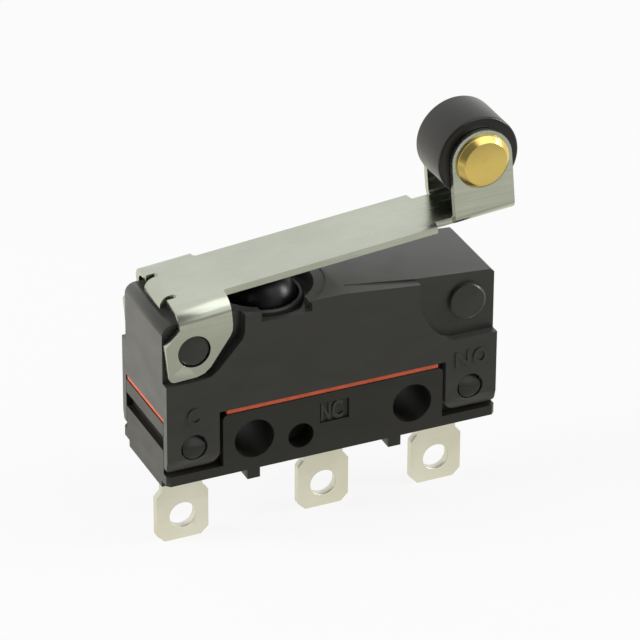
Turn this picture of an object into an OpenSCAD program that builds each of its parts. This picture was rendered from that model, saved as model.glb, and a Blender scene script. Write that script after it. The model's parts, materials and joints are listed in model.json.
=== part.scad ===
// Sealed subminiature snap-action switch with a hinged roller lever.
// +X runs along the case towards the roller, -Y is the lettered front face and +Z is up.
// The origin is midway between the two mounting holes, half-way through the case.

/* [Case and base] */
// Length of the case and base
case_len = 19.8; // [19.2:0.1:20.4]
// Thickness of the case and base, front face to back face
case_w = 6.4; // [6.2:0.1:6.6]
// Height of the flat case top above the mounting holes
case_top = 7.85; // [7.8:0.05:8]
// Fall of the sloping case top towards the roller end
top_fall = 0.73; // [0.5:0.01:0.8]
// Depth of the flange's underside below the mounting holes
base_drop = 1.9; // [1.8:0.05:2]
// Height of the base's top rim above the mounting holes
base_top = 1.85; // [1.7:0.05:1.9]
// Thickness of the rubber gasket between base and case
gasket_t = 0.3; // [0.2:0.05:0.35]

/* [Mounting] */
// Distance between the two mounting holes
hole_pitch = 9.5; // [9.4:0.05:9.6]
// Diameter of a mounting hole
hole_d = 2.35; // [2.2:0.05:2.5]

/* [Terminals] */
// Width of a solder terminal
term_w = 3.1; // [2.8:0.1:3.2]
// Thickness of the terminal strip
term_t = 0.5; // [0.4:0.05:0.55]
// Reach of a terminal below the mounting holes
term_reach = 7.3; // [7:0.1:8]
// Diameter of the solder hole
solder_d = 1.56; // [1.4:0.02:1.7]

/* [Lever and roller] */
// Thickness of the lever's sheet steel
lever_t = 0.4; // [0.3:0.05:0.4]
// Rise of the lever above level in its free position
lever_rise = 4.84; // [4:0.1:5]
// Width of the lever's blade
blade_w = 4.1; // [3.8:0.1:4.2]
// Distance from the pivot to the roller, along the blade
roller_reach = 18.1; // [17:0.1:19]
// Diameter of the roller
roller_d = 4.8; // [4.4:0.1:5]
// Width of the roller
roller_w = 3; // [2.6:0.1:3]

/* [Snap mechanism] */
// Stroke of the plunger from free to fully pressed
stroke = 0.713; // [0.6:0.001:0.713]
// Radius of the plunger's domed head
dome_r = 2; // [1.9:0.05:2.1]
// Gap between the moving contact and the normally open contact
contact_gap = 0.55; // [0.5:0.01:0.6]
// Turns in the tension spring
spring_turns = 14; // [8:1:16]

/* [Hidden] */
$fn = 64;
eps = 0.01;
half_len = case_len / 2;
half_w = case_w / 2;

// Base
flange_h = 0.6;
ridge_h = 0.4;
ridge_inset = 0.85;
block_half = 6.6;
leg_inner = 6.8;
leg_t = 0.5;
leg_bottom = -1.05;
leg_inner_r = 0.7;
leg_outer_r = 0.2;
leg_bevel_z = -0.35;
leg_bevel = 0.2;
fit_gap = 0.05;
tongue_half = half_w - leg_t - fit_gap;
post_x = 8.3;
post_z = 0.27;
post_r = 0.66;
post_drop = 0.06;
post_gap = 0.04;
post_ramp = 28;
post_hole_r = 0.78;
end_groove_z = 0.16;
end_groove_h = 0.88;
end_groove_depth = 0.35;
blind_hole = [-1.97, -0.47];
blind_r = 0.76;
blind_depth = 1.2;
foot_x = [-4.8, 3.7];
foot_w = 0.75;
foot_h = 0.6;
foot_depth = 0.9;
pocket_w = 3.3;
pocket_d = 1.9;
pocket_h = 0.6;
block_corner_r = 0.3;
flange_cut = 0.2;
mark_low = [-0.84, 0.03];
mark_high = [0.92, 1.26];
mark_depth = 0.15;

// Case
case_bottom = base_top + gasket_t;
slope_x = 0.7;
corner_r = 0.6;
cavity_half_x = half_len - 0.7;
cavity_half_y = 2.15;
cavity_top = 6.5;
recess_face = 2.65;
pivot = [-8.2, 6.19];
pivot_r = 0.9;
spare_pivot = [8.2, 5.53];
spare_r = 1.05;
boss_out = 3.05;
boss_chamfer = 0.1;
boss_ramp = 9;
ledge_angle = 5.8;
ledge_drop = 0.02;
ledge_from = [0.26, -2.22];
ledge_to = [4.6, -2.66];
ring_r = 3.55;
ring_step = 0.05;
slit_at = 0.12;
slit_depth = 0.45;

// Plunger
plunger_x = -3;
notch_floor = 7.2;
well_r = 2.9;
well_floor = 6.9;
seat_r = dome_r + 0.06;
head_bottom = 7;
seat_floor = head_bottom - stroke - 0.087;
stem_r = 0.75;
stem_hole_r = 0.8;
guide_r = 2.5;
guide_bottom = 5.95;
dome_z = 6.83;
stem_tip = 5.77;
lip_w = 0.32;
lip_h = 0.34;
notch_x = [-4.3, -1.45];

// Terminals: each one's centre along X
common_x = -7.83;
nc_x = 0.71;
no_x = 7.7;
solder_z = -5.8;
neck_w = 2.4;
neck_bottom = -4.1;
shoulder = (term_w - neck_w) / 2;
foot_cut = 0.45;
stem_w = 1.4;

// Lever, in its own frame: x along the blade, z square to it, origin at the pivot
blade_under = 2.226;
blade_upper = blade_under + lever_t;
ear_inner = 2.7;
ear_outer = ear_inner + lever_t;
ear_bend_r = 0.95;
ear_from = -0.7;
ear_to = 2.35;
ear_hole_r = 0.95;
tab_half = 1.1;
tab_bend_r = 0.6;
tab_outer = -1;
relief_w = 0.4;
relief_tip = -0.04;
tab_drop = 0.08;
ear_corner_r = 0.35;
bracket_half = 1.8;
bracket_inner = roller_w / 2 + fit_gap;
bracket_outer = bracket_inner + lever_t;
bracket_bend_r = 0.6;
roller_rise = 5.85;
rivet_r = 0.9;
rivet_head_r = 1.58;
rivet_head_t = 0.45;
rivet_bevel = 0.27;
rivet_tail_edge = 0.15;
rivet_tail_r = 1.4;
rivet_tail_t = 0.35;
roller_bore_r = rivet_r + fit_gap;
roller_edge = 0.12;

// Snap mechanism
strip_t = 0.15;
arm_half = 1.1;
tongue_w = 0.8;
window_l = 7.75;
window_w = 1.2;
contact_shank_r = 0.4;
spring_inset = 0.25;
actuator_pivot = [-7.2, 5.675];
arm_pivot = [-5.35, 4.825];
contact_x = 6.2;
contact_r = 0.75;
nc_face = 5.3;
double_h = 0.93;
no_face = nc_face - 0.02 - double_h - contact_gap;
no_pad = 0.4;
flange_z = 5.75;
flange_from = 5.3;
flange_to = 7.1;
flange_half = 0.9;
spring_from = [-1.75, 5.675];
spring_to = [3.4, 4.825];
spring_r = 0.36;
wire_r = 0.06;

// Extrudes an XZ outline from y = from to y = to.
module across(from, to) {
    translate([0, to, 0]) rotate([90, 0, 0]) linear_extrude(height = to - from) children();
}

// Extrudes a YZ outline from x = from to x = to.
module along(from, to) {
    translate([from, 0, 0]) rotate([90, 0, 90]) linear_extrude(height = to - from) children();
}

// Repeats a shape on the front and on the back.
module both_faces() {
    children();
    mirror([0, 1, 0]) children();
}

// A quarter ring in 2D, centred on the origin, in the quadrant of +x and +y.
module quarter_ring(outer, thick) {
    intersection() {
        difference() {
            circle(r = outer);
            circle(r = outer - thick);
        }
        square(outer + 1);
    }
}

// Block given by its two opposite corners.
module block(low, high) {
    translate(low) cube(high - low);
}

// ---------------------------------------------------------------- case

// Side outline of the upper shell: rounded end, flat top, then the falling slope.
module shell_outline() {
    hull() {
        translate([-half_len + corner_r, case_top - corner_r]) circle(r = corner_r);
        polygon([[-half_len, case_bottom], [half_len, case_bottom],
                 [half_len, case_top - top_fall - 0.2], [half_len - 0.2, case_top - top_fall],
                 [slope_x, case_top]]);
    }
}

// Outline of the pocket in which the lever's ear swings.
module lever_recess_outline() {
    polygon([[-half_len - 1, 4.36], [-8.2, 4.36], [-7.3, 4.46], [-6.85, 4.78], [-5.4, 6.4], [-5.28, 6.8],
             [-5.25, case_top + 1], [-half_len - 1, case_top + 1]]);
}

// Outline of the matching pocket round the spare pivot at the other end.
module spare_recess_outline() {
    polygon([[half_len + 1, 3.41], [7.35, 3.41], [6.7, 3.6], [6.26, 4], [5.7, 4.75], [5.2, 5.75],
             [5.15, 6], [5.15, case_top + 1], [half_len + 1, case_top + 1]]);
}

// Pivot stub standing out of a pocket, with a chamfered rim and a ramp that spreads the lever's ear.
module pivot_boss(at, r) {
    height = boss_out - recess_face;
    translate([at[0], -recess_face + eps, at[1]]) rotate([90, 0, 0]) difference() {
        union() {
            cylinder(r = r, h = height - boss_chamfer);
            translate([0, 0, height - boss_chamfer])
                cylinder(r1 = r, r2 = r - boss_chamfer, h = boss_chamfer);
        }
        rotate([0, 0, 45]) translate([-r - 1, 0, height]) rotate([-boss_ramp, 0, 0])
            cube([2 * r + 2, 2 * r, 1]);
    }
}

// Side outline of a snap leg, rounded more at its inner foot; side is -1 or 1.
module leg_outline(side) {
    hull() {
        translate([side * (leg_inner + leg_inner_r), leg_bottom + leg_inner_r]) circle(r = leg_inner_r);
        translate([side * (half_len - leg_outer_r), leg_bottom + leg_outer_r]) circle(r = leg_outer_r);
        translate([min(side * leg_inner, side * half_len), case_bottom]) square([half_len - leg_inner, 1]);
    }
}

// Snap leg with the hole that catches the base's post and a bevel that leads it over the post.
module snap_leg(side) {
    difference() {
        across(-half_w, -half_w + leg_t) difference() {
            leg_outline(side);
            translate([side * post_x, post_z]) circle(r = post_hole_r);
        }
        along(-half_len - 1, half_len + 1)
            polygon([[-half_w - 1, leg_bevel_z], [-half_w, leg_bevel_z],
                     [-half_w + leg_bevel, leg_bottom - eps], [-half_w - 1, leg_bottom - eps]]);
    }
}

// Well of the plunger: a shallow ring, the well itself, the seat of the dome and the stem's bore.
module plunger_well() {
    translate([plunger_x, 0, 0]) {
        translate([0, 0, case_top - ring_step]) cylinder(r = ring_r, h = 1);
        translate([0, 0, well_floor]) cylinder(r = well_r, h = 2);
        translate([0, 0, seat_floor]) cylinder(r = seat_r, h = 2);
        translate([0, 0, guide_bottom - 1]) cylinder(r = stem_hole_r, h = 3);
    }
}

// Ledge along the front edge of the sloping top.
module front_ledge() {
    translate([slope_x, 0, case_top - ledge_drop]) rotate([0, ledge_angle, 0]) linear_extrude(height = 1)
        polygon([[0, -half_w - 1], [ledge_to[0], -half_w - 1], ledge_to, ledge_from]);
}

module case() {
    color("#2b2b2c") {
        difference() {
            union() {
                difference() {
                    union() {
                        across(-half_w, half_w) shell_outline();
                        both_faces() for (side = [-1, 1]) snap_leg(side);
                    }
                    block([-cavity_half_x, -cavity_half_y, leg_bottom - 1],
                          [cavity_half_x, cavity_half_y, cavity_top]);
                }
                translate([plunger_x, 0, guide_bottom])
                    cylinder(r = guide_r, h = cavity_top - guide_bottom + eps);
            }
            plunger_well();
            both_faces() {
                across(-half_w - 1, -recess_face) lever_recess_outline();
                across(-half_w - 1, -recess_face) spare_recess_outline();
                block([notch_x[0], -half_w - 1, notch_floor], [notch_x[1], -1, case_top + 1]);
                block([notch_x[1] - eps, -half_w - 1, notch_floor],
                      [notch_x[1] + slit_at, -half_w + slit_depth, case_top - slit_at]);
                front_ledge();
            }
        }
        both_faces() {
            pivot_boss(pivot, pivot_r);
            pivot_boss(spare_pivot, spare_r);
        }
    }
}

// ---------------------------------------------------------------- base

// Catch post, with its upper half cut to a ramp that spreads the leg.
module catch_post(x) {
    height = half_w - tongue_half - post_gap;
    translate([x, -tongue_half + eps, post_z - post_drop]) rotate([90, 0, 0]) difference() {
        cylinder(r = post_r, h = height);
        translate([-1, 0, height]) rotate([-post_ramp, 0, 0]) cube([2, 1, 1]);
    }
}

// Flange under the base, with its four upright corners cut.
module flange() {
    x = half_len - flange_cut;
    y = half_w - flange_cut;
    translate([0, 0, -base_drop]) linear_extrude(height = flange_h)
        polygon([[-x, -half_w], [x, -half_w], [half_len, -y], [half_len, y],
                 [x, half_w], [-x, half_w], [-half_len, y], [-half_len, -y]]);
}

// Side outline of the block between the legs, rounded at its two upper corners.
module block_outline() {
    hull() {
        for (side = [-1, 1])
            translate([side * (block_half - block_corner_r), base_top - block_corner_r])
                circle(r = block_corner_r);
        translate([-block_half, -base_drop]) square([2 * block_half, 1]);
    }
}

// Slot for a terminal and the resin pocket round it.
module terminal_way(x) {
    block([x - stem_w / 2, -term_t / 2, -base_drop - 2], [x + stem_w / 2, term_t / 2, base_top + 1]);
    block([x - pocket_w / 2, -pocket_d / 2, -base_drop - ridge_h - 1],
          [x + pocket_w / 2, pocket_d / 2, -base_drop - ridge_h + pocket_h]);
}

module base() {
    ridge_half = half_w - ridge_inset;
    color("#252526") difference() {
        union() {
            flange();
            block([-half_len, -ridge_half, -base_drop - ridge_h], [half_len, ridge_half, -base_drop + eps]);
            block([-half_len, -tongue_half, -base_drop], [half_len, tongue_half, base_top]);
            across(-half_w, half_w) block_outline();
            both_faces() {
                for (side = [-1, 1]) catch_post(side * post_x);
                for (x = foot_x)
                    block([x - foot_w / 2, -half_w, -base_drop - foot_h],
                          [x + foot_w / 2, -half_w + foot_depth, -base_drop + eps]);
            }
        }
        for (side = [-1, 1]) {
            translate([side * hole_pitch / 2, half_w + 1, 0]) rotate([90, 0, 0])
                cylinder(d = hole_d, h = case_w + 2);
            translate([side * (half_len + 1 - end_groove_depth) - 1, -half_w - 1, end_groove_z])
                cube([2, case_w + 2, end_groove_h]);
        }
        translate([blind_hole[0], -half_w - eps, blind_hole[1]]) rotate([-90, 0, 0])
            cylinder(r = blind_r, h = blind_depth);
        block([mark_low[0], -half_w - 1, mark_low[1]], [mark_high[0], -half_w + mark_depth, mark_high[1]]);
        for (x = [common_x, nc_x, no_x]) terminal_way(x);
    }
}

// ---------------------------------------------------------------- seals

module gasket() {
    color("#c8402a") translate([0, 0, base_top]) linear_extrude(height = gasket_t) difference() {
        union() {
            square([case_len - 0.1, 2 * tongue_half], center = true);
            square([2 * (block_half - block_corner_r) + 0.1, case_w - 0.12], center = true);
        }
        square([2 * cavity_half_x, 2 * cavity_half_y], center = true);
    }
}

// Rubber lip that wipes the foot of the dome, rounded on top.
module plunger_seal() {
    color("#343435") translate([plunger_x, 0, well_floor]) rotate_extrude() {
        translate([seat_r, 0]) square([lip_w, lip_h - lip_w / 2]);
        translate([seat_r + lip_w / 2, lip_h - lip_w / 2]) circle(r = lip_w / 2, $fn = 48);
    }
}

// Resin plug round one terminal, just inside the underside of the base.
module resin_plug(x) {
    low = -base_drop - ridge_h;
    color("#1d1d1e") difference() {
        block([x - pocket_w / 2, -pocket_d / 2, low + fit_gap],
              [x + pocket_w / 2, pocket_d / 2, low + pocket_h]);
        block([x - neck_w / 2, -term_t / 2, low - 1], [x + neck_w / 2, term_t / 2, low + pocket_h + 1]);
    }
}

module common_seal() {
    resin_plug(common_x);
}

module nc_seal() {
    resin_plug(nc_x);
}

module no_seal() {
    resin_plug(no_x);
}

// ---------------------------------------------------------------- terminals and fixed contacts

// Outline of a solder tab centred on x, from its tip up to the resin plug, then the narrow stem.
module tab_outline(x, stem_top) {
    half = term_w / 2;
    pocket_top = -base_drop - ridge_h + pocket_h;
    difference() {
        union() {
            translate([x, 0]) polygon([
                [-half + foot_cut, -term_reach], [half - foot_cut, -term_reach],
                [half, -term_reach + foot_cut], [half, neck_bottom - shoulder - 0.05],
                [half - shoulder, neck_bottom],
                [half - shoulder, pocket_top], [-half + shoulder, pocket_top],
                [-half + shoulder, neck_bottom], [-half, neck_bottom - shoulder - 0.05],
                [-half, -term_reach + foot_cut]]);
            translate([x - stem_w / 2, pocket_top - eps]) square([stem_w, stem_top - pocket_top + eps]);
        }
        translate([x, solder_z]) circle(d = solder_d);
    }
}

// Knife-edge notch opening towards +X, in the XZ outline of a terminal.
module knife_notch(at) {
    translate(at) polygon([[0, 0], [0.2, 0.34], [0.2, -0.34]]);
}

// Terminal whose head holds the knife edges of both arms.
module common_terminal() {
    left = common_x - stem_w / 2;
    color("#b9b7ae") across(-term_t / 2, term_t / 2) difference() {
        union() {
            tab_outline(common_x, 6);
            polygon([[left, 4.2], [-6, 4.2], [-5.2, 4.5], [-5.2, 5.12], [-7.05, 5.12], [-7.05, 6],
                     [left, 6]]);
        }
        knife_notch(actuator_pivot);
        knife_notch(arm_pivot);
    }
}

// Terminal that turns to the back wall, rises past the arms and ends over the moving contact.
module nc_terminal() {
    riser_in = 1.55;
    riser_out = riser_in + term_t;
    turn_z = 2;
    left = nc_x - stem_w / 2;
    right = nc_x + stem_w / 2;
    color("#b9b7ae") {
        across(-term_t / 2, term_t / 2) tab_outline(nc_x, turn_z + eps);
        block([left, -term_t / 2, turn_z], [right, riser_out, turn_z + term_t]);
        across(riser_in, riser_out)
            polygon([[left, turn_z], [right, turn_z], [right, flange_z - 1.35], [3, flange_z - 0.3],
                     [flange_to, flange_z - 0.3], [flange_to, flange_z + term_t],
                     [left + 1.6, flange_z + term_t], [left, flange_z - 0.95]]);
        block([flange_from, -flange_half, flange_z], [flange_to, riser_out, flange_z + term_t]);
    }
}

// Terminal that ends under the moving contact.
module no_terminal() {
    flange_top = no_face - no_pad;
    color("#b9b7ae") {
        across(-term_t / 2, term_t / 2) tab_outline(no_x, flange_top);
        block([flange_from, -flange_half, flange_top - term_t], [no_x + stem_w / 2, flange_half, flange_top]);
    }
}

module nc_contact() {
    color("#d8d8d4") translate([contact_x, 0, nc_face]) cylinder(r = contact_r, h = flange_z - nc_face);
}

module no_contact() {
    color("#d8d8d4") translate([contact_x, 0, no_face - no_pad]) cylinder(r = contact_r, h = no_pad);
}

// ---------------------------------------------------------------- plunger

// Domed head, and a round-ended stem that presses the actuating arm.
module plunger() {
    color("#161617") translate([plunger_x, 0, 0]) {
        intersection() {
            translate([0, 0, dome_z]) sphere(r = dome_r);
            translate([0, 0, head_bottom]) cylinder(r = dome_r + 1, h = dome_r);
        }
        translate([0, 0, stem_tip + stem_r]) {
            cylinder(r = stem_r, h = head_bottom - stem_tip - stem_r + eps);
            sphere(r = stem_r);
        }
    }
}

// ---------------------------------------------------------------- lever and roller

// Puts the lever's own frame at the pivot, raised to its free position.
module lever_frame() {
    translate([pivot[0], 0, pivot[1]]) rotate([0, -lever_rise, 0]) children();
}

// Flat pattern of the blade seen from above, between its bends.
module blade_outline() {
    half = blade_w / 2;
    bend_y = ear_outer - ear_bend_r;
    bracket_from = roller_reach - bracket_half;
    bracket_to = roller_reach + bracket_half;
    bracket_y = bracket_outer - bracket_bend_r;
    relief_y = tab_half + relief_w;
    for (s = [-1, 1]) scale([1, s]) polygon([
        [tab_outer + tab_bend_r, 0], [tab_outer + tab_bend_r, tab_half], [relief_tip - 0.11, tab_half],
        [relief_tip, tab_half + relief_w / 2], [relief_tip - 0.16, relief_y], [ear_from, relief_y],
        [ear_from, bend_y], [ear_to, bend_y], [ear_to + 0.15, half],
        [bracket_from - 1.15, half], [bracket_from - 1.05, bracket_y + 0.15],
        [bracket_from, bracket_y + 0.15], [bracket_from, bracket_y], [bracket_to, bracket_y],
        [bracket_to, 0]]);
}

// Outline of a pivot ear hanging from its bend.
module ear_outline() {
    top = blade_upper - ear_bend_r;
    difference() {
        union() {
            polygon([[ear_from, top], [ear_from, 1.45], [-1.6, 0.7], [-1.6, -1.2], [-1.25, -1.55], [0, -1.6],
                     [0.45, -1.5], [0.85, -1.22], [2.15, 0.35], [2.3, 0.65], [ear_to, 1], [ear_to, top]]);
            translate([-1.6 + ear_corner_r, -1.55 + ear_corner_r]) circle(r = ear_corner_r, $fn = 32);
        }
        circle(r = ear_hole_r);
    }
}

// Outline of a roller ear, round at the top and drilled for the rivet.
module bracket_outline() {
    foot = blade_under + bracket_bend_r;
    translate([roller_reach, 0]) difference() {
        union() {
            translate([-bracket_half, foot]) square([2 * bracket_half, roller_rise - foot]);
            translate([0, roller_rise]) circle(r = bracket_half);
        }
        translate([0, roller_rise]) circle(r = rivet_r);
    }
}

module lever() {
    color("#d5d4cc") lever_frame() {
        translate([0, 0, blade_under]) linear_extrude(height = lever_t) blade_outline();
        stop_tab();
        both_faces() {
            along(ear_from, ear_to) translate([-ear_outer + ear_bend_r, blade_upper - ear_bend_r])
                mirror([1, 0]) quarter_ring(ear_bend_r, lever_t);
            across(-ear_outer, -ear_inner) ear_outline();
            along(roller_reach - bracket_half, roller_reach + bracket_half)
                translate([-bracket_outer + bracket_bend_r, blade_under + bracket_bend_r])
                    rotate(180) quarter_ring(bracket_bend_r, lever_t);
            across(-bracket_outer, -bracket_inner) bracket_outline();
        }
    }
}

// Short stop tab turned down over the end of the case.
module stop_tab() {
    across(-tab_half, tab_half) translate([tab_outer + tab_bend_r, blade_upper - tab_bend_r]) {
        mirror([1, 0]) quarter_ring(tab_bend_r, lever_t);
        translate([-tab_bend_r, -tab_drop]) square([lever_t, tab_drop + eps]);
    }
}

// Rivet turned about its own axis: bevelled head in front, upset tail behind.
module roller_rivet() {
    tail = -bracket_outer - rivet_tail_t;
    head = bracket_outer + rivet_head_t;
    color("#c9a53c") lever_frame() translate([roller_reach, 0, roller_rise]) rotate([90, 0, 0])
        rotate_extrude()
            polygon([[0, tail], [rivet_tail_r - rivet_tail_edge, tail],
                     [rivet_tail_r, tail + rivet_tail_edge], [rivet_tail_r, -bracket_outer],
                     [rivet_r, -bracket_outer], [rivet_r, bracket_outer], [rivet_head_r, bracket_outer],
                     [rivet_head_r, head - rivet_bevel], [rivet_head_r - rivet_bevel, head], [0, head]]);
}

module roller() {
    r = roller_d / 2;
    half = roller_w / 2;
    color("#1b1b1c") lever_frame() translate([roller_reach, 0, roller_rise]) rotate([90, 0, 0])
        rotate_extrude($fn = 96)
            polygon([[roller_bore_r, -half], [r - roller_edge, -half], [r, -half + roller_edge],
                     [r, half - roller_edge], [r - roller_edge, half], [roller_bore_r, half]]);
}

// ---------------------------------------------------------------- snap mechanism

// Wide root on the knife edge, then a narrow tongue that holds the spring.
module actuating_arm() {
    root = actuator_pivot[0] + 0.08;
    waist = -4.1;
    tip = spring_from[0];
    color("#c08a4e") translate([0, 0, actuator_pivot[1] - strip_t / 2]) linear_extrude(height = strip_t)
        polygon([[root, -arm_half], [waist, -arm_half], [waist + 0.5, -tongue_w / 2], [tip, -tongue_w / 2],
                 [tip, tongue_w / 2], [waist + 0.5, tongue_w / 2], [waist, arm_half], [root, arm_half]]);
}

// Forked arm that carries the moving contact, open in the middle for the spring.
module contact_arm() {
    root = arm_pivot[0] + 0.08;
    tip = contact_x + 0.8;
    tip_half = 0.8;
    color("#c08a4e") translate([0, 0, arm_pivot[1] - strip_t / 2]) linear_extrude(height = strip_t)
        difference() {
            polygon([[root, -arm_half], [tip - 2.8, -arm_half], [tip - 1.6, -tip_half], [tip, -tip_half],
                     [tip, tip_half], [tip - 1.6, tip_half], [tip - 2.8, arm_half], [root, arm_half]]);
            translate([root + 0.77, -window_w / 2]) square([window_l, window_w]);
            translate([contact_x, 0]) circle(r = contact_shank_r);
        }
}

// Double-sided contact rivet through the end of the contact arm.
module moving_contact() {
    low = nc_face - 0.02 - double_h;
    head_r = contact_r - 0.05;
    strip_low = arm_pivot[1] - strip_t / 2;
    color("#d8d8d4") translate([contact_x, 0, 0]) rotate_extrude()
        polygon([[0, low], [head_r, low], [head_r, strip_low], [contact_shank_r, strip_low],
                 [contact_shank_r, strip_low + strip_t], [head_r, strip_low + strip_t],
                 [head_r, low + double_h], [0, low + double_h]]);
}

// Close-wound tension spring: a round wire swept along a helix between the two arms.
module snap_spring() {
    span = norm([spring_to[0] - spring_from[0], spring_to[1] - spring_from[1]]) - 2 * spring_inset;
    dip = atan2(spring_from[1] - spring_to[1], spring_to[0] - spring_from[0]);
    per_turn = 14;
    sides = 6;
    rings = spring_turns * per_turn;
    points = [for (i = [0 : rings]) for (j = [0 : sides - 1])
        let (turn = 360 * i / per_turn, around = 360 * j / sides, reach = spring_r + wire_r * cos(around))
            [span * i / rings + wire_r * sin(around), reach * cos(turn), reach * sin(turn)]];
    skin = [for (i = [0 : rings - 1]) for (j = [0 : sides - 1])
        let (a = i * sides + j, b = i * sides + (j + 1) % sides)
            each [[a, b, b + sides], [a, b + sides, a + sides]]];
    start_cap = [for (j = [sides - 1 : -1 : 0]) j];
    end_cap = [for (j = [0 : sides - 1]) rings * sides + j];
    color("#9a9a98") translate([spring_from[0], 0, spring_from[1]]) rotate([0, dip, 0])
        translate([spring_inset, 0, 0]) polyhedron(points, concat(skin, [start_cap, end_cap]));
}

case();
base();
gasket();
plunger_seal();
plunger();
lever();
roller_rivet();
roller();
common_terminal();
nc_terminal();
no_terminal();
common_seal();
nc_seal();
no_seal();
nc_contact();
no_contact();
actuating_arm();
contact_arm();
moving_contact();
snap_spring();
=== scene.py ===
"""Studio scene of a sealed micro switch with a hinged roller lever.

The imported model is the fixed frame. Its moulded and stamped nodes are dressed here as welded copies whose
edges are broken as a tool leaves them, and its turned nodes as surfaces of revolution. The inner nodes keep
their own meshes. Sizes in the classes are in millimetres and become metres through MM.
"""

from __future__ import annotations

import json
import logging
import math
from dataclasses import dataclass, field
from enum import Enum
from typing import Any

import bmesh
import bpy
import numpy as np
from mathutils import Matrix, Vector

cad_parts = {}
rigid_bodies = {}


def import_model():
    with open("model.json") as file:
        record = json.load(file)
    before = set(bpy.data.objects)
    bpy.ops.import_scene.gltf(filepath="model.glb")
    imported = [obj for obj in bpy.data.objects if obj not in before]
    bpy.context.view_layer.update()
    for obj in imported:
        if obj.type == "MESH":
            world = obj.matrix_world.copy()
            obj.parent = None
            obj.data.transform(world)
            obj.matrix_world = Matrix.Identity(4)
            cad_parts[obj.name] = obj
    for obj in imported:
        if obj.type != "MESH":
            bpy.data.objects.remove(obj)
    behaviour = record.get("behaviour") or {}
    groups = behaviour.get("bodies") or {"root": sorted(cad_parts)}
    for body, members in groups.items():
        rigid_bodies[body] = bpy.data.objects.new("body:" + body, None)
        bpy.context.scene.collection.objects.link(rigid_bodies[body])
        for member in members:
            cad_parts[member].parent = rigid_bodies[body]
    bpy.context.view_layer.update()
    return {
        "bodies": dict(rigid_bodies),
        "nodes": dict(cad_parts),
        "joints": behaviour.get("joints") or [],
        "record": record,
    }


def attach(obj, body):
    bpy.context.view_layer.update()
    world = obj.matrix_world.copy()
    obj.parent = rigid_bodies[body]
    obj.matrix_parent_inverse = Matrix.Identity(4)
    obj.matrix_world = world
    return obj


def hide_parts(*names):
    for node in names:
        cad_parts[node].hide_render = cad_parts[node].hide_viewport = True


LOG = logging.getLogger("switch")
MM = 0.001
WHITE = (1.0, 1.0, 1.0, 1.0)

Colour = tuple[float, float, float]
Point = tuple[float, float, float]
Corner = tuple[float, float, float]
Span = tuple[float, float]
Frame = dict[str, Any]
Socket = bpy.types.NodeSocket

# Most values of a fractal noise lie between these two.
NOISE_MIDDLE: Span = (0.3, 0.7)


class Body(Enum):
    """The rigid bodies that dressed pieces ride on."""

    HOUSING = "housing"
    LEVER = "lever_arm"
    ROLLER = "roller_wheel"
    PLUNGER = "push_plunger"


class Slot(Enum):
    """The record's material slots."""

    CASE = "case_plastic"
    BASE = "base_plastic"
    GASKET = "gasket_rubber"
    LIP = "seal_rubber"
    PLUNGER = "plunger_plastic"
    LEVER = "lever_steel"
    RIVET = "rivet_brass"
    ROLLER = "roller_plastic"
    TERMINAL = "terminal_plate"
    RESIN = "resin"
    CONTACT = "contact_silver"
    ARM = "spring_bronze"
    SPRING = "spring_steel"


class Step(Enum):
    """What a Math node does with its two values."""

    LARGER = "MAXIMUM"
    PRODUCT = "MULTIPLY"


class Easing(Enum):
    """How a mapped value goes from one end of its range to the other."""

    EVEN = "LINEAR"
    SMOOTH = "SMOOTHSTEP"


# ---------------------------------------------------------------- node trees


def set_inputs(node: bpy.types.Node, **values: float | tuple[float, ...]) -> None:
    """Sets inputs of a node by name, with underscores for spaces."""
    for name, value in values.items():
        node.inputs[name.replace("_", " ")].default_value = value


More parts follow.
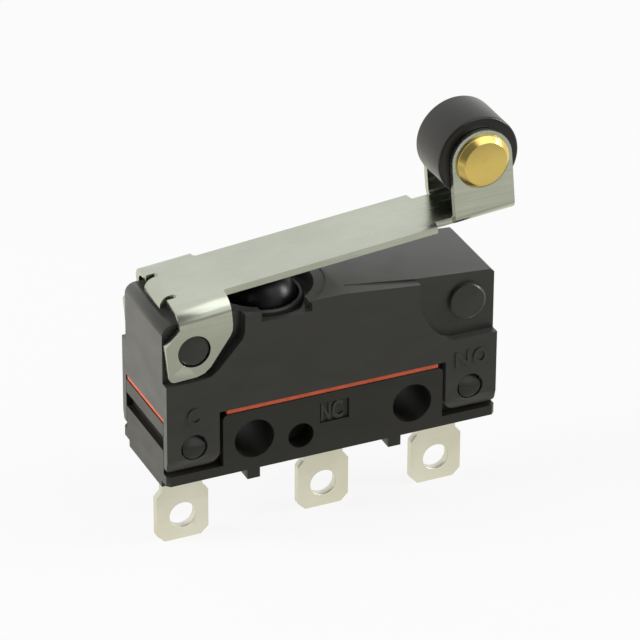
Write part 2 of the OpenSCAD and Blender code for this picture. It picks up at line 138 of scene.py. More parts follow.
class NodeBench:
    """A node tree, with short calls for what the finishes and the studio build in it."""

    def __init__(self, tree: bpy.types.NodeTree) -> None:
        """Takes the tree to build in."""
        self.tree = tree

    def add(self, kind: str, **values: float | tuple[float, ...]) -> bpy.types.Node:
        """Adds a node and sets some of its inputs.

        Args:
            kind: Type of the node.
            values: Values of inputs by name, with underscores for spaces.

        Returns:
            The node.
        """
        node = self.tree.nodes.new(kind)
        set_inputs(node, **values)
        return node

    def link(self, source: Socket, target: Socket) -> None:
        """Joins two sockets."""
        self.tree.links.new(source, target)

    def combine(self, step: Step, first: Socket, second: Socket | float) -> Socket:
        """Works out one value from two.

        Args:
            step: What is done with the two.
            first: One value.
            second: The other value, or a number.

        Returns:
            The result.
        """
        node = self.add("ShaderNodeMath")
        node.operation = step.value
        self.link(first, node.inputs[0])
        if isinstance(second, float):
            node.inputs[1].default_value = second
        else:
            self.link(second, node.inputs[1])
        return node.outputs["Value"]

    def map_range(self, value: Socket, come: Span, go: Span, easing: Easing = Easing.EVEN) -> Socket:
        """Maps a value from one range onto another and holds it at both ends.

        Args:
            value: The value.
            come: Its low and high ends.
            go: The results at those ends.
            easing: How the result goes from one to the other.

        Returns:
            The mapped value.
        """
        node = self.add("ShaderNodeMapRange", From_Min=come[0], From_Max=come[1], To_Min=go[0], To_Max=go[1])
        node.interpolation_type = easing.value
        self.link(value, node.inputs["Value"])
        return node.outputs["Result"]

    def seen_directly(self, rays: bpy.types.Node) -> Socket:
        """Picks out the rays that show a background: from the camera, off mirrors and through glass.

        Args:
            rays: The tree's Light Path node.

        Returns:
            One for those rays and zero for the rest.
        """
        mirrored = self.combine(Step.LARGER, rays.outputs["Is Camera Ray"], rays.outputs["Is Glossy Ray"])
        return self.combine(Step.LARGER, mirrored, rays.outputs["Is Transmission Ray"])

    def blend(self, share: Socket, plain: Socket, seen: Socket, output: bpy.types.Node) -> None:
        """Shows one shader where a share is zero and another where it is one.

        Args:
            share: The share of the second shader.
            plain: The first shader.
            seen: The second shader.
            output: The tree's output node.
        """
        mix = self.add("ShaderNodeMixShader")
        self.link(share, mix.inputs["Fac"])
        self.link(plain, mix.inputs[1])
        self.link(seen, mix.inputs[2])
        self.link(mix.outputs["Shader"], output.inputs["Surface"])


class NodeSheet(NodeBench):
    """A material's node tree, with its shader and its patterns on Object coordinates."""

    def __init__(self, name: str) -> None:
        """Starts a plain node material.

        Args:
            name: Name of the material.
        """
        self.material = bpy.data.materials.new(name)
        self.material.use_nodes = True
        super().__init__(self.material.node_tree)
        self.shader = self.tree.nodes["Principled BSDF"]
        self.coords = self.add("ShaderNodeTexCoord").outputs["Object"]

    def mapped(self, scale: Point, centre: Point = (0.0, 0.0, 0.0)) -> Socket:
        """Object coordinates moved to a centre and stretched.

        Args:
            scale: Stretch along X, Y and Z.
            centre: Point that becomes the pattern's origin, in metres.

        Returns:
            The mapped vector.
        """
        moved = tuple(-c * s for c, s in zip(centre, scale))
        node = self.add("ShaderNodeMapping", Scale=scale, Location=moved)
        self.link(self.coords, node.inputs["Vector"])
        return node.outputs["Vector"]

    def noise(self, vector: Socket, scale: float, detail: float) -> Socket:
        """Fractal noise between 0 and 1.

        Args:
            vector: Coordinates to read.
            scale: Cells per metre.
            detail: Octaves.

        Returns:
            The noise value.
        """
        node = self.add("ShaderNodeTexNoise", Scale=scale, Detail=detail)
        self.link(vector, node.inputs["Vector"])
        return node.outputs["Fac"]

    def rings(self, vector: Socket, scale: float, distortion: float) -> Socket:
        """Concentric rings round the Y axis of the given coordinates.

        Args:
            vector: Coordinates centred on the turning axis.
            scale: Rings per metre.
            distortion: How far the rings wander.

        Returns:
            The ring height between 0 and 1.
        """
        node = self.add("ShaderNodeTexWave", Scale=scale, Distortion=distortion)
        node.wave_type = "RINGS"
        node.rings_direction = "Y"
        self.link(vector, node.inputs["Vector"])
        return node.outputs["Fac"]

    def tint(self, noise: Socket, dark: Colour, light: Colour) -> None:
        """Colours the shader from dark to light by a noise.

        Args:
            noise: The noise value.
            dark: Colour at the low end of its middle.
            light: Colour at the high end.
        """
        node = self.add("ShaderNodeValToRGB")
        for element, place, colour in zip(node.color_ramp.elements, NOISE_MIDDLE, (dark, light)):
            element.position = place
            element.color = (*colour, 1.0)
        self.link(noise, node.inputs["Fac"])
        self.link(node.outputs["Color"], self.shader.inputs["Base Color"])

    def gloss(self, noise: Socket, roughness: float, swing: Span) -> None:
        """Lets a noise vary the shader's roughness.

        Args:
            noise: The noise value.
            roughness: The finish's own roughness.
            swing: What the low and the high end of the noise's middle add to it.
        """
        ends = (roughness + swing[0], roughness + swing[1])
        self.link(self.map_range(noise, NOISE_MIDDLE, ends), self.shader.inputs["Roughness"])

    def relief(self, heights: list[tuple[Socket, float]]) -> None:
        """Stacks bumps on the shader's normal.

        Args:
            heights: Pairs of a 0 to 1 height and its depth in millimetres.
        """
        normal = None
        for height, depth in heights:
            node = self.add("ShaderNodeBump", Strength=1.0, Distance=depth * MM)
            self.link(height, node.inputs["Height"])
            if normal is not None:
                self.link(normal, node.inputs["Normal"])
            normal = node.outputs["Normal"]
        self.link(normal, self.shader.inputs["Normal"])


# ---------------------------------------------------------------- finishes


def toned(colour: Colour, factor: float) -> Colour:
    """A colour made darker or lighter by a factor."""
    return tuple(factor * part for part in colour)


@dataclass(frozen=True)
class MouldedPlastic:
    """Injection-moulded plastic from a spark-eroded tool: fine grain and slow flow marks."""

    slot: Slot
    colour: Colour
    roughness: float
    grain: float = 0.004
    sheen: float = 0.0
    index: float = 1.45
    grain_scale: float = 7000.0
    flow_depth: float = 0.006
    flow_scale: float = 420.0
    flow_stretch: Point = (1.0, 1.0, 2.2)
    tones: Span = (0.82, 1.22)
    swing: Span = (-0.05, 0.07)
    sheen_roughness: float = 0.4

    def build(self) -> bpy.types.Material:
        """Makes the material.

        Returns:
            The material.
        """
        sheet = NodeSheet(self.slot.value)
        grain = sheet.noise(sheet.coords, self.grain_scale, detail=2.0)
        flow = sheet.noise(sheet.mapped(self.flow_stretch), self.flow_scale, detail=4.0)
        sheet.tint(flow, toned(self.colour, self.tones[0]), toned(self.colour, self.tones[1]))
        sheet.gloss(flow, self.roughness, self.swing)
        sheet.relief([(flow, self.flow_depth), (grain, self.grain)])
        set_inputs(sheet.shader, IOR=self.index, Sheen_Weight=self.sheen,
                   Sheen_Roughness=self.sheen_roughness)
        return sheet.material


@dataclass(frozen=True)
class RolledStrip:
    """Metal strip with rolling lines along X, a little uneven in gloss."""

    slot: Slot
    colour: Colour
    tarnish: Colour
    roughness: float
    lines: float = 0.0012
    lines_scale: float = 1.6
    lines_stretch: Point = (60.0, 2600.0, 2600.0)
    stain_scale: float = 260.0
    swing: Span = (-0.05, 0.08)
    anisotropic: float = 0.35

    def build(self) -> bpy.types.Material:
        """Makes the material.

        Returns:
            The material.
        """
        sheet = NodeSheet(self.slot.value)
        rolling = sheet.noise(sheet.mapped(self.lines_stretch), self.lines_scale, detail=4.0)
        stain = sheet.noise(sheet.coords, self.stain_scale, detail=5.0)
        sheet.tint(stain, self.tarnish, self.colour)
        sheet.gloss(rolling, self.roughness, self.swing)
        sheet.relief([(rolling, self.lines)])
        set_inputs(sheet.shader, Metallic=1.0, Anisotropic=self.anisotropic)
        return sheet.material


@dataclass(frozen=True)
class TurnedMetal:
    """Metal turned about an axis parallel to Y, with faint tool rings."""

    slot: Slot
    colour: Colour
    tarnish: Colour
    roughness: float
    centre: Point
    rings: float = 0.0006
    rings_scale: float = 5200.0
    rings_wander: float = 1.2
    stain_depth: float = 0.004
    stain_scale: float = 900.0
    swing: Span = (0.0, 0.08)

    def build(self) -> bpy.types.Material:
        """Makes the material.

        Returns:
            The material.
        """
        sheet = NodeSheet(self.slot.value)
        centred = sheet.mapped((1.0, 1.0, 1.0), self.centre)
        rings = sheet.rings(centred, self.rings_scale, self.rings_wander)
        stain = sheet.noise(sheet.coords, self.stain_scale, detail=4.0)
        sheet.tint(stain, self.tarnish, self.colour)
        sheet.gloss(stain, self.roughness, self.swing)
        sheet.relief([(rings, self.rings), (stain, self.stain_depth)])
        set_inputs(sheet.shader, Metallic=1.0)
        return sheet.material


@dataclass(frozen=True)
class SoftRubber:
    """Moulded silicone rubber: matt, slightly sheened, with a cloudy surface."""

    slot: Slot
    colour: Colour
    roughness: float
    cloud_depth: float = 0.004
    cloud_scale: float = 1500.0
    tones: Span = (0.85, 1.1)
    swing: Span = (-0.06, 0.06)
    sheen: float = 0.15
    index: float = 1.42

    def build(self) -> bpy.types.Material:
        """Makes the material.

        Returns:
            The material.
        """
        sheet = NodeSheet(self.slot.value)
        cloud = sheet.noise(sheet.coords, self.cloud_scale, detail=3.0)
        sheet.tint(cloud, toned(self.colour, self.tones[0]), toned(self.colour, self.tones[1]))
        sheet.gloss(cloud, self.roughness, self.swing)
        sheet.relief([(cloud, self.cloud_depth)])
        set_inputs(sheet.shader, IOR=self.index, Sheen_Weight=self.sheen)
        return sheet.material


Finish = MouldedPlastic | RolledStrip | TurnedMetal | SoftRubber


@dataclass
class Finishes:
    """Every material of the switch, by its slot."""

    rivet_centre: Point
    made: dict[Slot, bpy.types.Material] = field(default_factory=dict)

    def build(self) -> None:
        """Makes all the materials."""
        for finish in self.kinds():
            self.made[finish.slot] = finish.build()
            LOG.info("finish %s", finish.slot.value)

    def kinds(self) -> tuple[Finish, ...]:
        """Lists the finish of each slot.

        Returns:
            The finishes.
        """
        return (
            MouldedPlastic(Slot.CASE, (0.009, 0.0085, 0.006), 0.33, sheen=0.3, index=1.56),
            MouldedPlastic(Slot.BASE, (0.007, 0.0065, 0.004), 0.36, sheen=0.06, index=1.48),
            SoftRubber(Slot.GASKET, (0.55, 0.085, 0.025), 0.5),
            MouldedPlastic(Slot.LIP, (0.045, 0.045, 0.043), 0.42, grain=0.002),
            MouldedPlastic(Slot.PLUNGER, (0.003, 0.003, 0.003), 0.34, grain=0.001, index=1.34),
            RolledStrip(Slot.LEVER, (0.53, 0.56, 0.475), (0.46, 0.48, 0.40), 0.24),
            TurnedMetal(Slot.RIVET, (0.80, 0.62, 0.20), (0.72, 0.53, 0.155), 0.16, self.rivet_centre),
            MouldedPlastic(Slot.ROLLER, (0.005, 0.004, 0.003), 0.27, grain=0.0015, index=1.5),
            RolledStrip(Slot.TERMINAL, (0.78, 0.765, 0.67), (0.70, 0.68, 0.56), 0.4, lines=0.0016),
            MouldedPlastic(Slot.RESIN, (0.010, 0.010, 0.010), 0.3, grain=0.002),
            RolledStrip(Slot.CONTACT, (0.86, 0.85, 0.81), (0.78, 0.77, 0.72), 0.2),
            RolledStrip(Slot.ARM, (0.76, 0.47, 0.26), (0.66, 0.38, 0.20), 0.26),
            RolledStrip(Slot.SPRING, (0.62, 0.62, 0.60), (0.52, 0.52, 0.50), 0.25),
        )


# ---------------------------------------------------------------- meshes


def new_piece(name: str, data: bpy.types.Mesh | bpy.types.TextCurve) -> bpy.types.Object:
    """Links a mesh or a text to the scene as an object at the origin.

    Args:
        name: Name of the object.
        data: The mesh or text.

    Returns:
        The object.
    """
    piece = bpy.data.objects.new(name, data)
    bpy.context.scene.collection.objects.link(piece)
    return piece


def dress(piece: bpy.types.Object, node: str | None, body: Body, slot: Slot,
          finishes: Finishes) -> None:
    """Gives a piece its material and body, and hides the CAD node that it stands for.

    Args:
        piece: The piece.
        node: CAD node that it stands for, or None for an added piece.
        body: Body that it rides on.
        slot: Its material slot.
        finishes: The materials.
    """
    piece.data.materials.clear()
    piece.data.materials.append(finishes.made[slot])
    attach(piece, body.value)
    if node is not None:
        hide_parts(node)
    LOG.info("piece %s on %s, %d faces", piece.name, body.value, len(piece.data.polygons))


def close_shell(mesh: bpy.types.Mesh, weld: float = 0.0005, smooth_angle: float = 32.0) -> None:
    """Merges points that coincide, turns faces outwards and shades smooth up to an angle.

    Args:
        mesh: The mesh, in metres.
        weld: Points nearer than this many millimetres become one.
        smooth_angle: Edges sharper than this many degrees stay crisp.
    """
    work = bmesh.new()
    work.from_mesh(mesh)
    bmesh.ops.remove_doubles(work, verts=work.verts, dist=weld * MM)
    bmesh.ops.recalc_face_normals(work, faces=work.faces)
    work.to_mesh(mesh)
    work.free()
    mesh.shade_smooth()
    mesh.set_sharp_from_angle(angle=math.radians(smooth_angle))


def grid_mesh(name: str, points: np.ndarray) -> bpy.types.Mesh:
    """Skins a grid that closes round its second direction.

    Args:
        name: Name of the mesh.
        points: Array of rows by columns by 3, in metres. The last column meets the first.

    Returns:
        The mesh, with one quad between each pair of rows and columns.
    """
    rows, columns = points.shape[:2]
    row, column = np.meshgrid(np.arange(rows - 1), np.arange(columns), indexing="ij")
    after = (column + 1) % columns
    quads = np.stack([row * columns + column, row * columns + after,
                      (row + 1) * columns + after, (row + 1) * columns + column], -1).reshape(-1, 4)
    mesh = bpy.data.meshes.new(name)
    mesh.from_pydata(points.reshape(-1, 3).tolist(), [], quads.tolist())
    return mesh


def rounded_profile(corners: list[Corner], steps: int = 6) -> np.ndarray:
    """Rounds the corners of an open profile.

    Each corner is replaced by a quadratic curve that starts and ends at the corner's rounding from it:
    p = (1 - t)^2 a + 2 t (1 - t) corner + t^2 b, for t from 0 to 1.

    Args:
        corners: Points as (radius from the axis, height, rounding), in millimetres.
        steps: Points along each rounded corner.

    Returns:
        Array of (radius, height).
    """
    points = np.array([c[:2] for c in corners], float)
    out = [points[0]]
    t = np.linspace(0.0, 1.0, steps)[:, None]
    for before, here, after, corner in zip(points[:-2], points[1:-1], points[2:], corners[1:-1]):
        size = corner[2]
        if size <= 0.0:
            out.append(here)
            continue
        a = here + (before - here) / np.linalg.norm(before - here) * size
        b = here + (after - here) / np.linalg.norm(after - here) * size
        out.extend((1 - t) ** 2 * a + 2 * t * (1 - t) * here + t ** 2 * b)
    out.append(points[-1])
    return np.array(out)


@dataclass
class TurnedPiece:
    """A surface of revolution that stands for a CAD node.

    A point of the surface is centre + height * axis + radius * (cos(angle) * u + sin(angle) * v), where u
    is square to the axis and to the aside direction, and v is square to the axis and to u.
    """

    name: str
    node: str
    body: Body
    slot: Slot
    centre: Point
    axis: Point
    corners: list[Corner]
    columns: int = 128
    aside: Point = (0.31, 0.0, 0.95)

    def build(self, finishes: Finishes) -> None:
        """Makes the piece, puts it on its body and hides its CAD node.

        Args:
            finishes: The materials.
        """
        profile = rounded_profile(self.corners)
        axis = np.array(Vector(self.axis).normalized())
        u = np.cross(axis, self.aside)
        u /= np.linalg.norm(u)
        v = np.cross(axis, u)
        angle = np.linspace(0.0, 2 * math.pi, self.columns, endpoint=False)
        ring = np.cos(angle)[:, None] * u + np.sin(angle)[:, None] * v
        points = (np.array(self.centre) + profile[:, 1, None, None] * axis
                  + profile[:, 0, None, None] * ring[None]) * MM
        mesh = grid_mesh(self.name, points)
        close_shell(mesh)
        dress(new_piece(self.name, mesh), self.node, self.body, self.slot, finishes)


@dataclass
class BrokenEdgePiece:
    """A welded copy of a CAD node whose sharp edges are rounded, as moulding or deburring leaves them."""

    node: str
    body: Body
    slot: Slot
    edge: float
    sharp_angle: float = 28.0
    segments: int = 2
    weld: float = 0.0008
    sliver: float = 0.0004
    flat_angle: float = 0.6
    smooth_angle: float = 35.0

    def build(self, frame: Frame, finishes: Finishes) -> None:
        """Makes the piece and hides its CAD node.

        The copy is worked in millimetres: its loose triangles are welded, flat triangles are fused into
        whole faces, and edges sharper than sharp_angle are bevelled by edge.

        Args:
            finishes: The materials.
        """
        work = bmesh.new()
        work.from_mesh(frame["nodes"][self.node].data)
        bmesh.ops.scale(work, vec=(1 / MM,) * 3, verts=work.verts)
        bmesh.ops.remove_doubles(work, verts=work.verts, dist=self.weld)
        bmesh.ops.dissolve_degenerate(work, dist=self.sliver, edges=work.edges)
        bmesh.ops.dissolve_limit(work, angle_limit=math.radians(self.flat_angle), verts=work.verts,
                                 edges=work.edges)
        limit = math.radians(self.sharp_angle)
        sharp = [e for e in work.edges if e.is_manifold and e.calc_face_angle(0.0) > limit]
        bmesh.ops.bevel(work, geom=sharp, offset=self.edge, offset_type="OFFSET", segments=self.segments,
                        profile=0.5, affect="EDGES", clamp_overlap=True)
        bmesh.ops.scale(work, vec=(MM,) * 3, verts=work.verts)
        mesh = bpy.data.meshes.new(self.node + "_finished")
        work.to_mesh(mesh)
        work.free()
        mesh.shade_smooth()
        mesh.set_sharp_from_angle(angle=math.radians(self.smooth_angle))
        piece = new_piece(self.node + "_finished", mesh)
        weighted = piece.modifiers.new("face weights", "WEIGHTED_NORMAL")
        weighted.keep_sharp = True
        dress(piece, self.node, self.body, self.slot, finishes)


# ---------------------------------------------------------------- the switch


@dataclass
class RaisedLetter:
    """One letter moulded on a front wall of the housing.

    Each point p of the letter's mesh moves to start + (end - start) * (p - p_min) / (p_max - p_min), so
    that the letter fills the box that across, high and the wall give it.
    """

    name: str
    text: str
    across: Span
    high: Span
    wall_y: float
    relief: float = 0.08
    root: float = 0.03
    weight: float = 0.022
    curve_steps: int = 8

    def build(self, finishes: Finishes) -> None:
        """Makes the letter.

        Args:
            finishes: The materials.
        """
        curve = bpy.data.curves.new(self.name, "FONT")
        curve.body = self.text
        # Any thickness will do, because the box sets it.
        curve.extrude = 0.5
        curve.offset = self.weight
        curve.resolution_u = self.curve_steps
        holder = new_piece("mark_source", curve)
        mesh = bpy.data.meshes.new_from_object(holder)
        bpy.data.objects.remove(holder)
        flat = np.empty(len(mesh.vertices) * 3)
        mesh.vertices.foreach_get("co", flat)
        points = flat.reshape(-1, 3)
        share = (points - points.min(0)) / (points.max(0) - points.min(0))
        start = np.array((self.across[0], self.wall_y + self.root, self.high[0]))
        end = np.array((self.across[1], self.wall_y - self.relief, self.high[1]))
        placed = (start + (end - start) * share[:, [0, 2, 1]]) * MM
        mesh.vertices.foreach_set("co", placed.ravel())
        close_shell(mesh)
        dress(new_piece(self.name, mesh), None, Body.HOUSING, Slot.CASE, finishes)


@dataclass
class Housing:
    """The case, the base, the seals and the marks moulded on them."""

    case_edge: float = 0.07
    base_edge: float = 0.05
    gasket_edge: float = 0.05
    seal_edge: float = 0.04
    face_y: float = -3.2
    recess_y: float = -3.05

    def build(self, frame: Frame, finishes: Finishes) -> None:
        """Builds the moulded parts.

        Args:
            finishes: The materials.
        """
        for node, slot, edge in (("case", Slot.CASE, self.case_edge),
                                 ("base", Slot.BASE, self.base_edge),
                                 ("gasket", Slot.GASKET, self.gasket_edge),
                                 ("common_seal", Slot.RESIN, self.seal_edge),
                                 ("nc_seal", Slot.RESIN, self.seal_edge),
                                 ("no_seal", Slot.RESIN, self.seal_edge)):
            BrokenEdgePiece(node, Body.HOUSING, slot, edge).build(frame, finishes)
        for letter in self.letters():
            letter.build(finishes)

    def letters(self) -> tuple[RaisedLetter, ...]:
        """Lists the terminal marks: C at the left, NC in the middle and NO at the right.

        Returns:
            The letters.
        """
        return (
            RaisedLetter("mark_common_C", "C", (-8.69, -7.99), (1.69, 2.72), self.face_y),
            RaisedLetter("mark_closed_N", "N", (-0.74, -0.17), (0.1, 1.2), self.recess_y),
            RaisedLetter("mark_closed_C", "C", (-0.06, 0.58), (0.08, 1.22), self.recess_y),
            RaisedLetter("mark_open_N", "N", (7.35, 8.25), (1.65, 2.6), self.face_y),
            RaisedLetter("mark_open_O", "O", (8.45, 9.29), (1.63, 2.62), self.face_y),
        )


@dataclass
class Terminals:
    """The three solder terminals."""

    edge: float = 0.035

    def build(self, frame: Frame, finishes: Finishes) -> None:
        """Builds the terminals.

        Args:
            finishes: The materials.
        """
        for node in ("common_terminal", "nc_terminal", "no_terminal"):
            BrokenEdgePiece(node, Body.HOUSING, Slot.TERMINAL, self.edge).build(frame, finishes)


@dataclass
class LeverArm:
    """The stamped lever with its rivet, and the roller that turns on it."""

    roller_centre: Point
    axis: Point = (0.0, -1.0, 0.0)
    strip_edge: float = 0.04
    fold_angle: float = 40.0
    ear_face: float = 1.95
    rivet_r: float = 0.9
    head_r: float = 1.57
    head_t: float = 0.45
    head_bevel: float = 0.3
    head_round: float = 0.03
    face_round: float = 0.04
    tail_r: float = 1.4
    tail_t: float = 0.35
    tail_round: float = 0.16
    root_round: float = 0.02
    roller_r: float = 2.4
    roller_half: float = 1.5
    roller_round: float = 0.16
    bore_r: float = 0.95
    bore_round: float = 0.05

    def build(self, frame: Frame, finishes: Finishes) -> None:
        """Builds the lever, the rivet and the roller.

        Args:
            finishes: The materials.
        """
        BrokenEdgePiece("lever", Body.LEVER, Slot.LEVER, self.strip_edge,
                        sharp_angle=self.fold_angle).build(frame, finishes)
        self.build_rivet(finishes)
        self.build_roller(finishes)

    def build_rivet(self, finishes: Finishes) -> None:
        """Turns the rivet: a rounded tail, the shank through both ears and a bevelled head.

        Args:
            finishes: The materials.
        """
        head = self.ear_face + self.head_t
        tail = -self.ear_face - self.tail_t
        corners = [(0.0, tail, 0.0),
                   (self.tail_r, tail, self.tail_round),
                   (self.tail_r, -self.ear_face, self.root_round),
                   (self.rivet_r, -self.ear_face, 0.0),
                   (self.rivet_r, self.ear_face, 0.0),
                   (self.head_r, self.ear_face, self.head_round),
                   (self.head_r, head - self.head_bevel, self.head_round),
                   (self.head_r - self.head_bevel, head, self.face_round),
                   (0.0, head, 0.0)]
        TurnedPiece("rivet_turned", "roller_rivet", Body.LEVER, Slot.RIVET, self.roller_centre, self.axis,
                    corners).build(finishes)

    def build_roller(self, finishes: Finishes) -> None:
        """Turns the roller: a ring with a plain bore, whose profile ends where it starts.

        Args:
            finishes: The materials.
        """
        corners = [(self.bore_r, 0.0, 0.0),
                   (self.bore_r, -self.roller_half, self.bore_round),
                   (self.roller_r, -self.roller_half, self.roller_round),
                   (self.roller_r, self.roller_half, self.roller_round),
                   (self.bore_r, self.roller_half, self.bore_round),
                   (self.bore_r, 0.0, 0.0)]
        TurnedPiece("roller_turned", "roller", Body.ROLLER, Slot.ROLLER, self.roller_centre, self.axis,
                    corners).build(finishes)


@dataclass
class Plunger:
    """The domed plunger and the rubber lip round it."""

    foot: Point = (-3.0, 0.0, 0.0)
    axis: Point = (0.0, 0.0, 1.0)
    dome_r: float = 2.0
    dome_z: float = 6.83
    dome_steps: int = 24
    head_bottom: float = 7.0
    head_round: float = 0.02
    stem_r: float = 0.75
    stem_tip: float = 5.77
    stem_steps: int = 9
    lip_in: float = 2.06
    lip_out: float = 2.38
    lip_z: float = 6.9
    lip_centre: float = 0.18
    lip_steps: int = 21

    def build(self, finishes: Finishes) -> None:
        """Builds the plunger and its rubber lip.

        Args:
            finishes: The materials.
        """
        self.build_plunger(finishes)
        self.build_lip(finishes)

    def build_plunger(self, finishes: Finishes) -> None:
        """Turns the plunger: a stem with a round tip under a domed head.

        The dome follows height = dome_z + sqrt(dome_r^2 - radius^2), and the tip is a quarter of a circle
        of the stem's radius.

        Args:
            finishes: The materials.
        """
        edge = math.sqrt(self.dome_r ** 2 - (self.head_bottom - self.dome_z) ** 2)
        radius = edge * np.sin(np.linspace(math.pi / 2, 0.0, self.dome_steps))
        dome = [(float(r), self.dome_z + math.sqrt(self.dome_r ** 2 - r * r), 0.0) for r in radius]
        tip = [(self.stem_r * math.sin(a), self.stem_tip + self.stem_r * (1 - math.cos(a)), 0.0)
               for a in np.linspace(0.0, math.pi / 2, self.stem_steps)]
        corners = [*tip,
                   (self.stem_r, self.head_bottom, 0.0),
                   (edge - self.head_round, self.head_bottom, self.head_round),
                   *dome]
        TurnedPiece("plunger_turned", "plunger", Body.PLUNGER, Slot.PLUNGER, self.foot, self.axis,
                    corners).build(finishes)

    def build_lip(self, finishes: Finishes) -> None:
        """Turns the lip: a thin wall whose crown is half a circle as wide as the wall.

        Args:
            finishes: The materials.
        """
        half = (self.lip_out - self.lip_in) / 2
        centre_z = self.lip_z + self.lip_centre
        crown = [(self.lip_in + half + half * math.cos(a), centre_z + half * math.sin(a), 0.0)
                 for a in np.linspace(math.pi, 0.0, self.lip_steps)]
        corners = [(self.lip_in, self.lip_z, 0.0), *crown, (self.lip_out, self.lip_z, 0.0),
                   (self.lip_in, self.lip_z, 0.0)]
        TurnedPiece("plunger_lip", "plunger_seal", Body.HOUSING, Slot.LIP, self.foot, self.axis,
                    corners).build(finishes)


@dataclass
class SnapMechanism:
    """The contacts, the two arms and the tension spring inside the case, which keep their CAD meshes."""

    contacts: tuple[str, ...] = ("nc_contact", "no_contact", "moving_contact")
    arms: tuple[str, ...] = ("actuating_arm", "contact_arm")
    springs: tuple[str, ...] = ("snap_spring",)

    def build(self, frame: Frame, finishes: Finishes) -> None:
        """Dresses the inner parts.

        Args:
            finishes: The materials.
        """
        for nodes, slot in ((self.contacts, Slot.CONTACT),
                            (self.arms, Slot.ARM),
                            (self.springs, Slot.SPRING)):
            for node in nodes:
                piece = frame["nodes"][node]
                piece.data.materials.clear()
                piece.data.materials.append(finishes.made[slot])
                LOG.info("node %s dressed as %s", node, slot.value)


# ---------------------------------------------------------------- studio


@dataclass
class ViewPoint:
    """The camera, on a sphere round the part. Angles are in degrees."""

    azimuth: float = -24.27
    elevation: float = 29.42
    roll: float = 0.318
    distance: float = 247.42
    lens: float = 250.6
    sensor: float = 36.0
    near: float = 10.0
    far: float = 10000.0

    def build(self, target: Point) -> None:
        """Places the camera and turns it by the roll.

        The line of sight leaves the target along
        (sin(az) cos(el), -cos(az) cos(el), sin(el)).

        Args:
            target: Point that the camera looks at, in millimetres.
        """
        az, el, roll = (math.radians(a) for a in (self.azimuth, self.elevation, self.roll))
        back = Vector((math.sin(az) * math.cos(el), -math.cos(az) * math.cos(el), math.sin(el)))
        right = Vector((0.0, 0.0, 1.0)).cross(back).normalized()
        upward = back.cross(right)
        turned_right = math.cos(roll) * right + math.sin(roll) * upward
        turned_up = math.cos(roll) * upward - math.sin(roll) * right
        data = bpy.data.cameras.new("camera")
        data.lens = self.lens
        data.sensor_width = self.sensor
        data.clip_start = self.near * MM
        data.clip_end = self.far * MM
        camera = bpy.data.objects.new("camera", data)
        place = (Vector(target) + back * self.distance) * MM
        turn = Matrix((turned_right, turned_up, back)).transposed().to_4x4()
        camera.matrix_world = Matrix.Translation(place) @ turn
        bpy.context.scene.collection.objects.link(camera)
        bpy.context.scene.camera = camera


@dataclass
class PaperFloor:
    """A sheet of pale paper under the part.

    The camera sees it as near white, with the part's soft shadow. A mirror sees it warmer, and with painted
    light in bands along Y: dim painted shade in front of the part, which stands in for the part's shadow on
    the paper, then one bright painted band, and white behind its front face. Each band is a place and a
    brightness, and banded is the stretch that they lie on.
    """

    height: float = -7.32
    reach: float = 900.0
    colour: Colour = (0.86, 0.86, 0.85)
    roughness: float = 0.9
    glow: float = 0.86
    mirrored_colour: Colour = (1.0, 0.985, 0.90)
    # Painted shade: the dim bands in front of the part stand in for its shadow on the paper, and the band at
    # -36 is a painted bright band.
    bands: tuple[Span, ...] = ((-80.0, 0.3), (-50.0, 0.4), (-36.0, 0.92), (-21.0, 0.46), (4.0, 1.0))
    banded: Span = (-80.0, 20.0)

    def build(self) -> None:
        """Lays the sheet."""
        reach, z = self.reach * MM, self.height * MM
        mesh = bpy.data.meshes.new("floor")
        mesh.from_pydata([(-reach, -reach, z), (reach, -reach, z), (reach, reach, z), (-reach, reach, z)],
                         [], [(0, 1, 2, 3)])
        floor = new_piece("floor", mesh)
        floor.data.materials.append(self.paper())

    def paper(self) -> bpy.types.Material:
        """Makes the sheet's material, which glows to the rays that show it directly.

        Returns:
            The material.
        """
        sheet = NodeSheet("floor_paper")
        set_inputs(sheet.shader, Base_Color=(*self.colour, 1.0), Roughness=self.roughness)
        rays = sheet.add("ShaderNodeLightPath")
        to_camera = rays.outputs["Is Camera Ray"]
        tint = sheet.add("ShaderNodeMix")
        tint.data_type = "RGBA"
        set_inputs(tint, A=(*self.mirrored_colour, 1.0), B=WHITE)
        sheet.link(to_camera, tint.inputs["Factor"])
        # Mirrors see the paper with painted shade and light bands, not with its real shadow.
        strength = sheet.combine(Step.LARGER, to_camera, self.painted_shade_and_light_bands(sheet))
        glow = sheet.add("ShaderNodeEmission")
        sheet.link(tint.outputs["Result"], glow.inputs["Color"])
        sheet.link(strength, glow.inputs["Strength"])
        share = sheet.combine(Step.PRODUCT, sheet.seen_directly(rays), self.glow)
        sheet.blend(share, sheet.shader.outputs["BSDF"], glow.outputs["Emission"],
                    sheet.tree.nodes["Material Output"])
        return sheet.material

    def painted_shade_and_light_bands(self, sheet: NodeSheet) -> Socket:
        """Works out the painted shade and painted light along Y that a mirror sees on the sheet.

        Args:
            sheet: The material to build in.

        Returns:
            The brightness, eased from each band to the next.
        """
        start, end = self.banded
        place = sheet.add("ShaderNodeSeparateXYZ")
        sheet.link(sheet.coords, place.inputs["Vector"])
        ramp = sheet.add("ShaderNodeValToRGB")
        ramp.color_ramp.interpolation = "EASE"
        for _ in self.bands[2:]:
            ramp.color_ramp.elements.new(0.5)
        for element, (y, level) in zip(ramp.color_ramp.elements, self.bands):
            element.position = (y - start) / (end - start)
            element.color = (level, level, level, 1.0)
        sheet.link(sheet.map_range(place.outputs["Y"], (start * MM, end * MM), (0.0, 1.0)),
                   ramp.inputs["Fac"])
        return ramp.outputs["Color"]


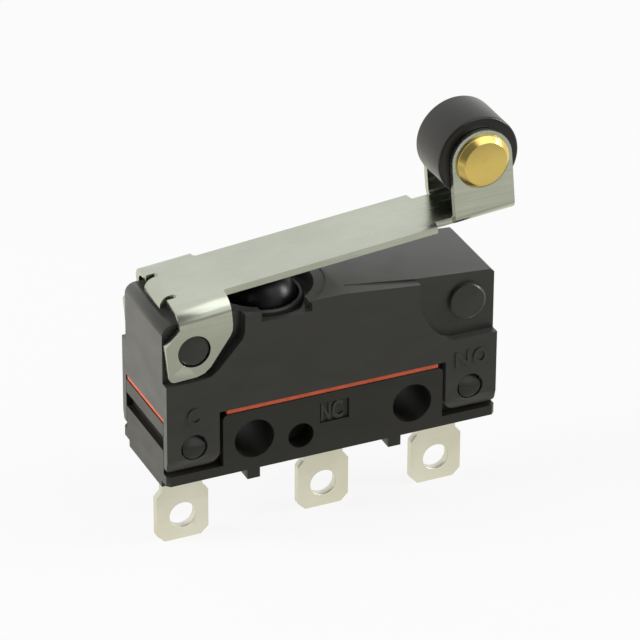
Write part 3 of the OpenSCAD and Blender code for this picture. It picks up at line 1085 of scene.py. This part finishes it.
@dataclass
class Surroundings:
    """The world: a pale fill, which the camera and mirrors see as white.

    Mirrors see it dimmer round one direction, at the front left. The spread holds the cosines of the
    angles from that direction at which the dimming starts and is full.
    """

    fill: float = 0.3
    fill_colour: Colour = (0.93, 0.96, 0.95)
    dim: float = 0.2
    dim_side: Point = (-0.60, -0.70, 0.38)
    dim_spread: Span = (0.5, 0.88)

    def build(self) -> None:
        """Makes the world."""
        world = bpy.data.worlds.new("studio")
        world.use_nodes = True
        bench = NodeBench(world.node_tree)
        fill = bench.tree.nodes["Background"]
        set_inputs(fill, Color=(*self.fill_colour, 1.0), Strength=self.fill)
        aside = bench.add("ShaderNodeVectorMath")
        aside.operation = "DOT_PRODUCT"
        aside.inputs[1].default_value = self.dim_side
        bench.link(bench.add("ShaderNodeTexCoord").outputs["Generated"], aside.inputs[0])
        dim = bench.map_range(aside.outputs["Value"], self.dim_spread, (1.0, self.dim), Easing.SMOOTH)
        rays = bench.add("ShaderNodeLightPath")
        seen = bench.add("ShaderNodeBackground", Color=WHITE)
        bench.link(bench.combine(Step.LARGER, rays.outputs["Is Camera Ray"], dim), seen.inputs["Strength"])
        bench.blend(bench.seen_directly(rays), fill.outputs["Background"], seen.outputs["Background"],
                    bench.tree.nodes["World Output"])
        bpy.context.scene.world = world


@dataclass(frozen=True)
class SoftBox:
    """A square lamp that faces the part, with its power in watts.

    A mirrored one shows in glossy surfaces, on top of the white surroundings.
    """

    name: str
    place: Point
    size: float
    power: float
    mirrored: bool = True

    def hang(self, target: Point) -> None:
        """Makes the lamp and aims it.

        Args:
            target: Point that the lamp faces, in millimetres.
        """
        data = bpy.data.lights.new(self.name, "AREA")
        data.shape = "SQUARE"
        data.size = self.size * MM
        data.energy = self.power
        lamp = bpy.data.objects.new(self.name, data)
        lamp.visible_glossy = self.mirrored
        where = Vector(self.place) * MM
        aim = (Vector(target) * MM - where).to_track_quat("-Z", "Y")
        lamp.matrix_world = Matrix.Translation(where) @ aim.to_matrix().to_4x4()
        bpy.context.scene.collection.objects.link(lamp)


@dataclass
class Studio:
    """The camera, the floor, the surroundings and the three soft boxes."""

    target: Point = (1.304, 1.621, 3.571)
    boxes: tuple[SoftBox, ...] = (
        SoftBox("right", (230.0, -88.0, 82.0), 75.0, 0.3),
        SoftBox("above", (109.0, -142.0, 238.0), 270.0, 0.2),
        SoftBox("left", (-260.0, 40.0, 90.0), 200.0, 1.0, mirrored=False),
    )

    def build(self) -> None:
        """Builds the whole studio."""
        ViewPoint().build(self.target)
        PaperFloor().build()
        Surroundings().build()
        for box in self.boxes:
            box.hang(self.target)
        bpy.context.scene.view_settings.view_transform = "Standard"


def roller_axis(frame: Frame) -> Point:
    """Finds the centre of the roller at rest, from its joint.


    Returns:
        The centre, in millimetres.
    """
    joint = next(j for j in frame["joints"] if j["name"] == "roller_spin")
    return tuple(value / MM for value in joint["pos_m"])


def main() -> None:
    """Builds the switch and its studio."""
    logging.basicConfig(level=logging.INFO, format="%(message)s")
    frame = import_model()
    centre = roller_axis(frame)
    finishes = Finishes(tuple(c * MM for c in centre))
    finishes.build()
    Housing().build(frame, finishes)
    Terminals().build(frame, finishes)
    LeverArm(centre).build(frame, finishes)
    Plunger().build(finishes)
    SnapMechanism().build(frame, finishes)
    Studio().build()


if __name__ == "__main__":
    main()
